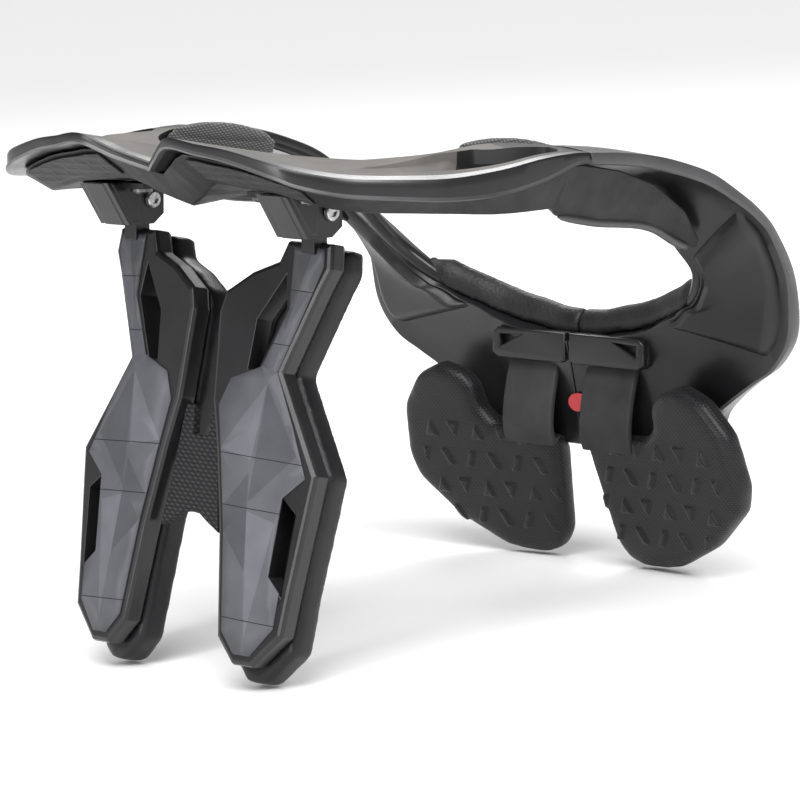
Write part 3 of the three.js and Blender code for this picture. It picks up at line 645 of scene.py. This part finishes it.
# Soft pieces start as a remeshed copy of their solid, rounded and then given their relief
def softened(node, name, body, material, voxel, rounds, relief=None):
    source = frame["nodes"][node]
    mesh = source.data.copy()
    piece = bpy.data.objects.new(name, mesh)
    bpy.context.scene.collection.objects.link(piece)
    remesh = piece.modifiers.new("remesh", "REMESH")
    remesh.mode = "VOXEL"
    remesh.voxel_size = voxel * MM
    smooth = piece.modifiers.new("smooth", "SMOOTH")
    smooth.factor = 0.5
    smooth.iterations = rounds
    made = bpy.data.meshes.new_from_object(piece.evaluated_get(bpy.context.evaluated_depsgraph_get()))
    piece.modifiers.clear()
    piece.data = made
    made.materials.clear()
    made.materials.append(material)
    made.shade_smooth()
    if relief:
        fine = bmesh.new()
        fine.from_mesh(made)
        bmesh.ops.subdivide_edges(fine, edges=fine.edges[:], cuts=1, use_grid_fill=True, smooth=0.0)
        fine.to_mesh(made)
        fine.free()
        inverse = worn_to_standing.inverted()
        moves = []
        for vertex in made.vertices:
            local = inverse @ vertex.co / MM
            moves.append(vertex.normal * relief(local, vertex.normal) * MM)
        for vertex, move in zip(made.vertices, moves):
            vertex.co += move
    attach(piece, body)
    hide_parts(node)


# Raised dashes of the chest pads: pitch, where the first stands, and how many columns and rows there are
DASH_PITCH, DASH_FIRST_X, DASH_FIRST_Z = 13, 20, -66
DASH_COLUMNS, DASH_ROWS = (-0.5, 5), (-0.5, 3.6)
# Size of one dash: its height, half its width and length, the run of its edge, and its lean
DASH_RISE, DASH_HALF_WIDTH, DASH_HALF_LENGTH, DASH_EDGE, DASH_LEAN = 1.1, 1.9, 3.8, 0.8, 0.5
FACING_REAR = -0.6


def chest_relief(side):
    """Short raised dashes in leaning pairs on the inner face."""
    def height(point, normal):
        if normal.y > FACING_REAR:
            return 0
        column = (side * point.x - DASH_FIRST_X) / DASH_PITCH
        row = (point.z - DASH_FIRST_Z) / DASH_PITCH
        if not (DASH_COLUMNS[0] < column < DASH_COLUMNS[1] and DASH_ROWS[0] < row < DASH_ROWS[1]):
            return 0
        shift = 0.5 * (round(row) % 2)
        u = (column - shift - round(column - shift)) * DASH_PITCH
        v = (row - round(row)) * DASH_PITCH
        lean = -DASH_LEAN if round(column) % 2 else DASH_LEAN
        across = (DASH_HALF_WIDTH - abs(u - lean * v)) / DASH_EDGE
        along = (DASH_HALF_LENGTH - abs(v)) / DASH_EDGE
        return DASH_RISE * max(0, min(1, across)) * max(0, min(1, along))
    return height


# The neck pads, from their rear to their front, and the seam along their side
NECK_PAD_REAR, NECK_PAD_LENGTH, NECK_PAD_LEVEL, NECK_PAD_FALL = -53, 62, 105, 5
SEAM_RISE, SEAM_HALF, SEAM_DEPTH, PAD_SWELL = 3.6, 0.9, 0.9, 3.0


def neck_relief(point, normal):
    """The pad swells upward, with a sewn seam along its side."""
    share = (point.y - NECK_PAD_REAR) / NECK_PAD_LENGTH
    seam = point.z - (NECK_PAD_LEVEL - NECK_PAD_FALL * share) - SEAM_RISE
    groove = SEAM_DEPTH * max(0, 1 - abs(seam) / SEAM_HALF)
    return PAD_SWELL * max(0, normal.z) - groove


def build_soft_pieces():
    for name, side in SIDES.items():
        softened("chest_pad_" + name, "chest_pad_soft_" + name, "collar", PAD_WEAVE, 1.4, 40,
                 chest_relief(side))
        softened("strut_pad_" + name, "strut_pad_soft_" + name, "struts", FOAM, 1.6, 8)
        softened("neck_pad_" + name, "neck_pad_soft_" + name, "collar", MESH, 1.2, 6,
                 neck_relief)
        softened("collar_foam_" + name, "collar_foam_soft_" + name, "collar", LEATHER, 1.2, 5)


# Struts: black shells, each with a raised printed face of flat facets
STRUT_LENGTH, STRUT_WIDTH, STRUT_MID, STRUT_TOP = 168, 58, 40, (-103, 75)


def strut_to_worn(across, down, out):
    """A point on a strut's face: across and down as in the solid's outline, and out of the face."""
    local = Vector((across * STRUT_WIDTH - STRUT_MID, -out, -down * STRUT_LENGTH))
    local = Matrix.Rotation(STRUT_TURN, 3, "Z") @ local
    local = Matrix.Rotation(-STRUT_LEAN, 3, "X") @ local
    return local + Vector((STRUT_MID, STRUT_TOP[0], STRUT_TOP[1]))


# Points of the printed face: across, down, height; and its facets
FACE_POINTS = [
    (0.74, 0.015, 0.6), (1.00, 0.015, 0.6), (1.01, 0.055, 0.6), (0.95, 0.11, 0.6), (0.72, 0.31, 0.6),
    (0.90, 0.425, 0.6), (1.075, 0.55, 0.6), (1.02, 0.69, 0.6), (0.97, 0.82, 0.6), (0.955, 0.905, 0.6),
    (0.78, 0.975, 0.6), (0.64, 0.975, 0.6), (0.51, 0.925, 0.6), (0.42, 0.70, 0.6), (0.31, 0.51, 0.6),
    (0.24, 0.40, 0.6), (0.32, 0.335, 0.6), (0.58, 0.30, 0.6), (0.76, 0.16, 0.6), (0.85, 0.08, 1.0),
    (0.64, 0.33, 1.3), (0.56, 0.45, 1.7), (0.61, 0.62, 1.9), (0.68, 0.88, 1.6), (0.84, 0.575, 0.9),
    (0.82, 0.80, 0.9),
    (0.90, 0.60, 0.7), (0.86, 0.785, 0.7),
]
FACE_FACETS = [
    (0, 1, 19), (1, 2, 19), (2, 3, 19), (0, 19, 18), (18, 19, 3), (18, 3, 4), (18, 4, 17), (17, 4, 20),
    (17, 20, 16), (16, 20, 21), (16, 21, 15), (15, 21, 14), (20, 4, 5), (20, 5, 21), (21, 5, 24),
    (21, 24, 22), (21, 22, 14), (14, 22, 13), (22, 24, 25), (22, 25, 23), (22, 23, 13), (13, 23, 12),
    (12, 23, 11), (11, 23, 10), (10, 23, 9), (23, 25, 9), (5, 6, 24), (24, 6, 26), (24, 26, 27),
    (24, 27, 25), (25, 27, 8), (25, 8, 9),
]


# Tone areas of the print, each a convex area in across and down with its tone
DARK_TONE, MIDDLE_TONE, LIGHT_TONE, LINE_TONE = range(4)
TONE_AREAS = [
    ([(0.30, 0.50), (0.66, 0.34), (0.60, 0.52)], LIGHT_TONE),
    ([(0.66, 0.34), (0.98, 0.50), (0.62, 0.62)], DARK_TONE),
    ([(0.32, 0.66), (0.60, 0.55), (0.66, 0.78)], DARK_TONE),
    ([(0.62, 0.64), (0.86, 0.66), (0.72, 0.94)], LIGHT_TONE),
    ([(0.70, 0.03), (0.90, 0.03), (0.74, 0.22)], DARK_TONE),
]
# Panel lines across the print: where each starts, how wide and how slanted they are, as shares
PANEL_LINES = [0.105, 0.235, 0.505, 0.625, 0.885]
LINE_WIDTH, LINE_SLANT = 0.0022, 0.012
FACE_THICKNESS = 0.9
STRUT_REARWARD = Vector((0, -1, 0.2))


def inside(area, x, y):
    signs = []
    for (ax, ay), (bx, by) in zip(area, area[1:] + area[:1]):
        signs.append((bx - ax) * (y - ay) - (by - ay) * (x - ax) > 0)
    return all(signs) or not any(signs)


def cut_line(work, a, b):
    """Cut the flat face mesh along a line through two points of across and down."""
    normal = Vector((b[1] - a[1], a[0] - b[0], 0)).normalized()
    geometry = work.verts[:] + work.edges[:] + work.faces[:]
    bmesh.ops.bisect_plane(work, geom=geometry, dist=1e-6, plane_co=(a[0], a[1], 0), plane_no=normal)


def strut_face_mesh(side):
    mesh = bpy.data.meshes.new("strut_face")
    mesh.from_pydata(FACE_POINTS, [], FACE_FACETS)
    work = bmesh.new()
    work.from_mesh(mesh)
    for area, _ in TONE_AREAS:
        for a, b in zip(area, area[1:] + area[:1]):
            cut_line(work, a, b)
    for down in PANEL_LINES:
        cut_line(work, (0, down), (1, down + LINE_SLANT))
        cut_line(work, (0, down + LINE_WIDTH), (1, down + LINE_WIDTH + LINE_SLANT))
    for face in work.faces:
        middle = face.calc_center_median()
        tones = [tone for area, tone in TONE_AREAS if inside(area, middle.x, middle.y)]
        face.material_index = tones[0] if tones else MIDDLE_TONE
        if any(0 < middle.y - down - LINE_SLANT * middle.x < LINE_WIDTH for down in PANEL_LINES):
            face.material_index = LINE_TONE
    for vertex in work.verts:
        vertex.co = side_point(side, strut_to_worn(*vertex.co))
    bmesh.ops.recalc_face_normals(work, faces=work.faces)
    if sum(face.normal.dot(STRUT_REARWARD) for face in work.faces) < 0:
        bmesh.ops.reverse_faces(work, faces=work.faces)
    work.to_mesh(mesh)
    work.free()
    return mesh


def build_strut_faces():
    for name, side in SIDES.items():
        piece = link_piece("strut_face_" + name, strut_face_mesh(side), "struts",
                           [*PRINTS, PANEL_LINE], 3)
        thick = piece.modifiers.new("thickness", "SOLIDIFY")
        thick.thickness = FACE_THICKNESS * MM
        thick.offset = -1
        dress("strut_shell_" + name, BLACK, 0.9)


# Cap screws at both ends of each pivot: steps out from its end with their radius, and the hex recess
HEAD_OUTLINE = [(-0.9, 0.0), (-0.9, 1.9), (0.0, 1.9), (0.0, 2.9), (-0.35, 3.4), (-1.9, 3.5), (-1.9, 1.7)]
HEX_RADIUS, HEX_FLAT, HEAD_SIDES = 1.9, 1.75, 36


def head_ring(middle, out, radius):
    ring = []
    for i in range(HEAD_SIDES):
        angle = 2 * pi * i / HEAD_SIDES
        wide = HEX_FLAT / cos((angle % (pi / 3)) - pi / 6) if radius == HEX_RADIUS else radius
        ring.append(middle + Vector((out, wide * MM * cos(angle), wide * MM * sin(angle))))
    return ring


def build_screws():
    for name, side in SIDES.items():
        low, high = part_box("pivot_screw_" + name)
        middle = (Vector(low) + Vector(high)) / 2
        reach = (high[0] - low[0]) / 2
        for end in (1, -1):
            head = [head_ring(middle, end * (reach + step * MM), radius) for step, radius in HEAD_OUTLINE]
            mesh = loft("pivot_screw_head", head)
            suffix = "_outer" if end * side > 0 else "_inner"
            piece = link_piece("pivot_screw_" + name + suffix, mesh, "collar", [STEEL], 30)
            if end > 0:
                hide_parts("pivot_screw_" + name)


def build_rigid():
    for name in SIDES:
        dress("pivot_bracket_" + name, BLACK, 0.7)
        dress("rear_grip_pad_" + name, GRIP, 0.8)
    dress("collar_underbody", CARRIER, 1.2)
    dress("release_button", RED, 0.9)
    dress("strut_bridge", WEB, 0.9)


# Chest clamps and rubber tabs: outlines in x and z, and the tab's route in y and z, in the worn pose
CLAMP_OUTLINE = [(1.2, 20.4), (1.2, 8.6), (3.4, 7.2), (40.6, 7.2), (43.8, 9.4), (43.8, 18.0), (41.0, 20.4)]
CLAMP_HOLE = [(26.5, 18.0), (39.8, 17.4), (39.2, 12.2)]
CLAMP_FRONT, CLAMP_BACK = 103.6, 112.0
CLAMP_FACE, CLAMP_OVERLAP, FACE_ROUND, BACK_ROUND = 3.6, 0.2, 0.9, 0.5
TAB_PATH = [
    (110.8, 10.0), (108.6, 5.0), (106.2, -3.0), (104.6, -11.0),
    (103.9, -19.0), (104.6, -25.0), (106.2, -29.0),
]
TAB_MIDDLE, TAB_HALF, TAB_THICK, TAB_SIDES = 22.5, 14.2, 3.4, 32
# Powers that square the tab's section: across it and through it
TAB_SQUARE_ACROSS, TAB_SQUARE_THROUGH = 0.12, 0.45


def plate_mesh(name, outlines, front, back, round_edge, side):
    """A plate across y with holes, from outlines in x and z, with rounded edges."""
    curve = bpy.data.curves.new(name, "CURVE")
    curve.dimensions = "2D"
    curve.fill_mode = "BOTH"
    curve.extrude = (back - front) / 2 - round_edge
    curve.bevel_depth = round_edge
    curve.bevel_resolution = 3
    curve.offset = -round_edge
    for outline in outlines:
        line = curve.splines.new("POLY")
        line.points.add(len(outline) - 1)
        line.use_cyclic_u = True
        for point, (x, z) in zip(line.points, outline):
            point.co = (x, z, 0, 1)
    holder = bpy.data.objects.new(name, curve)
    bpy.context.scene.collection.objects.link(holder)
    mesh = bpy.data.meshes.new_from_object(holder.evaluated_get(bpy.context.evaluated_depsgraph_get()))
    bpy.data.objects.remove(holder)
    bpy.data.curves.remove(curve)
    middle = (front + back) / 2
    for vertex in mesh.vertices:
        x, z, depth = vertex.co
        vertex.co = side_point(side, Vector((x, middle + depth, z)))
    work = bmesh.new()
    work.from_mesh(mesh)
    bmesh.ops.remove_doubles(work, verts=work.verts, dist=1e-6)
    bmesh.ops.recalc_face_normals(work, faces=work.faces)
    work.to_mesh(mesh)
    work.free()
    mesh.materials.clear()
    return mesh


def squared(value, power):
    return abs(value) ** power * (1 if value > 0 else -1)


def tab_mesh(name, side):
    rings = []
    path = smooth_rows(TAB_PATH, 5)
    for i, (y, z) in enumerate(path):
        before, after = path[max(i - 1, 0)], path[min(i + 1, len(path) - 1)]
        along = Vector((0, after[0] - before[0], after[1] - before[1])).normalized()
        out = Vector((0, along.z, -along.y))
        ring = []
        for k in range(TAB_SIDES):
            angle = 2 * pi * k / TAB_SIDES
            across = squared(cos(angle), TAB_SQUARE_ACROSS)
            through = squared(sin(angle), TAB_SQUARE_THROUGH)
            point = Vector((TAB_MIDDLE + TAB_HALF * across, y, z)) + out * (TAB_THICK / 2 * through)
            ring.append(side_point(side, point))
        rings.append(ring)
    return loft(name, rings)


def build_chest_clamps():
    face_end = CLAMP_FRONT + CLAMP_FACE
    for name, side in SIDES.items():
        face = plate_mesh("chest_clamp", [CLAMP_OUTLINE, CLAMP_HOLE], CLAMP_FRONT, face_end, FACE_ROUND, side)
        clamp = link_piece("chest_clamp_" + name, face, "collar", [BLACK], 50)
        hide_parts("tab_bracket_" + name)
        rear = plate_mesh("chest_clamp_back", [CLAMP_OUTLINE], face_end - CLAMP_OVERLAP, CLAMP_BACK,
                          BACK_ROUND, side)
        back = link_piece("chest_clamp_back_" + name, rear, "collar", [PILLOW], 50)
        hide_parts("tab_bracket_" + name)
        tab = tab_mesh("chest_band", side)
        band = link_piece("chest_band_" + name, tab, "collar", [RUBBER], 60)
        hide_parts("chest_tab_" + name)


# Solid rear of each pivot bracket, with chamfered sides; outline in y and z from the pivot
BLOCK_OUTLINE = [(-24.3, 7.3), (-12.3, -10.3), (-6.4, -10.3), (-6.4, 7.3)]
BLOCK_CHAMFER = [(2.6, 0), (2.4, 1.8), (0, 1.8), (0, 0)]
BLOCK_HALF, BLOCK_FLAT, PIVOT_X = 8.75, 5.6, 51
BLOCK_STATIONS = [(-BLOCK_HALF, 1), (-BLOCK_FLAT, 0), (BLOCK_FLAT, 0), (BLOCK_HALF, 1)]


def from_pivot(x, y, z):
    """A point of the worn pose, from its x and its place in front of and above the pivot."""
    return Vector((x, PIVOT_WORN.y / MM + y, PIVOT_WORN.z / MM + z))


def build_pivot_blocks():
    for name, side in SIDES.items():
        rings = []
        for x, share in BLOCK_STATIONS:
            ring = []
            for (y, z), (dy, dz) in zip(BLOCK_OUTLINE, BLOCK_CHAMFER):
                point = from_pivot(PIVOT_X + x, y + share * dy, z + share * dz)
                ring.append(side_point(side, point))
            rings.append(ring)
        mesh = loft("pivot_block", rings)
        piece = link_piece("pivot_block_" + name, mesh, "collar", [BLACK], 20)
        bevel(piece, 0.5, 3, 20)


# Small screws under the table: places around their middle, level, and outline as step up and radius
TABLE_SCREWS = [(-12, -12), (12, -12), (-12, 17), (12, 17)]
TABLE_SCREW_X, TABLE_SCREW_LEVEL, TABLE_SCREW_SIDES = 47, 5.2, 28
TABLE_SCREW_OUTLINE = [(0, 4.4), (-1.2, 4.3), (-1.9, 3.4), (-1.9, 1.6), (-0.9, 1.5)]


def build_table_screws():
    angles = [2 * pi * k / TABLE_SCREW_SIDES for k in range(TABLE_SCREW_SIDES)]
    for name, side in SIDES.items():
        for index, (dx, dy) in enumerate(TABLE_SCREWS):
            middle = from_pivot(TABLE_SCREW_X + dx, dy, TABLE_SCREW_LEVEL)
            rings = []
            for step, radius in TABLE_SCREW_OUTLINE:
                rings.append([side_point(side, middle + Vector((radius * cos(a), radius * sin(a), step)))
                              for a in angles])
            title = "table_screw_%s_%d" % (name, index)
            link_piece(title, loft(title, rings), "collar", [DARK_STEEL], 35)


build_table_screws()
build_chest_clamps()
build_pivot_blocks()
build_collar_shell()
build_wings()
build_wing_details()
build_nose_beads()
build_soft_pieces()
build_strut_faces()
build_screws()
build_rigid()


# Studio: pale floor and soft lights
def area_light(name, place, target, size, power):
    light = bpy.data.objects.new(name, bpy.data.lights.new(name, "AREA"))
    light.data.shape = "RECTANGLE"
    light.data.size, light.data.size_y = size
    light.data.energy = power
    light.location = place
    light.rotation_euler = (Vector(target) - Vector(place)).to_track_quat("-Z", "Y").to_euler()
    bpy.context.scene.collection.objects.link(light)


# Brightness of the surroundings, from the horizon up
WORLD_LEVELS = [(0.0, 0.72), (0.07, 0.62), (0.4, 0.2)]
FLOOR_HALF, FLOOR_DROP = 60, 0.0005
SUN_POWER, SUN_ANGLE, SUN_FROM = 2.7, 40, (0.35, -0.5, 1.0)
# Soft lights: place, aim, size and power
AREA_LIGHTS = {
    "key": ((1.3, -0.2, 1.1), (0, 0, 0.1), (0.4, 0.6), 13),
    "rear_strip": ((0.1, -1.5, 0.6), (0, 0, 0.12), (0.25, 1.2), 12),
    "top_back": ((-0.9, 1.0, 1.2), (0, 0, 0.12), (1.0, 0.5), 14),
}


def build_floor():
    corners = [(x * FLOOR_HALF, y * FLOOR_HALF, -FLOOR_DROP) for x, y in ((-1, -1), (1, -1), (1, 1), (-1, 1))]
    mesh = bpy.data.meshes.new("floor")
    mesh.from_pydata(corners, [], [(0, 1, 2, 3)])
    floor = bpy.data.objects.new("floor", mesh)
    bpy.context.scene.collection.objects.link(floor)
    pale = bpy.data.materials.new("floor")
    pale.use_nodes = True
    shader = pale.node_tree.nodes["Principled BSDF"]
    shader.inputs["Base Color"].default_value = (0.9, 0.9, 0.9, 1)
    shader.inputs["Roughness"].default_value = 0.9
    mesh.materials.append(pale)


def build_world():
    world = bpy.data.worlds.new("studio")
    world.use_nodes = True
    tree = world.node_tree
    place = tree.nodes.new("ShaderNodeTexCoord")
    split = tree.nodes.new("ShaderNodeSeparateXYZ")
    ramp = tree.nodes.new("ShaderNodeValToRGB")
    elements = ramp.color_ramp.elements
    elements.new(0.1)
    for element, (position, level) in zip(elements, WORLD_LEVELS):
        element.position = position
        element.color = (level, level, level, 1)
    tree.links.new(place.outputs["Generated"], split.inputs["Vector"])
    tree.links.new(split.outputs["Z"], ramp.inputs["Fac"])
    tree.links.new(ramp.outputs["Color"], tree.nodes["Background"].inputs["Color"])
    bpy.context.scene.world = world


def build_lights():
    sun = bpy.data.objects.new("sun", bpy.data.lights.new("sun", "SUN"))
    sun.data.energy = SUN_POWER
    sun.data.angle = radians(SUN_ANGLE)
    sun.rotation_euler = Vector(SUN_FROM).to_track_quat("Z", "Y").to_euler()
    bpy.context.scene.collection.objects.link(sun)
    for name, (place, target, size, power) in AREA_LIGHTS.items():
        area_light(name, place, target, size, power)


build_floor()
build_world()
build_lights()
bpy.context.scene.view_settings.view_transform = "Standard"
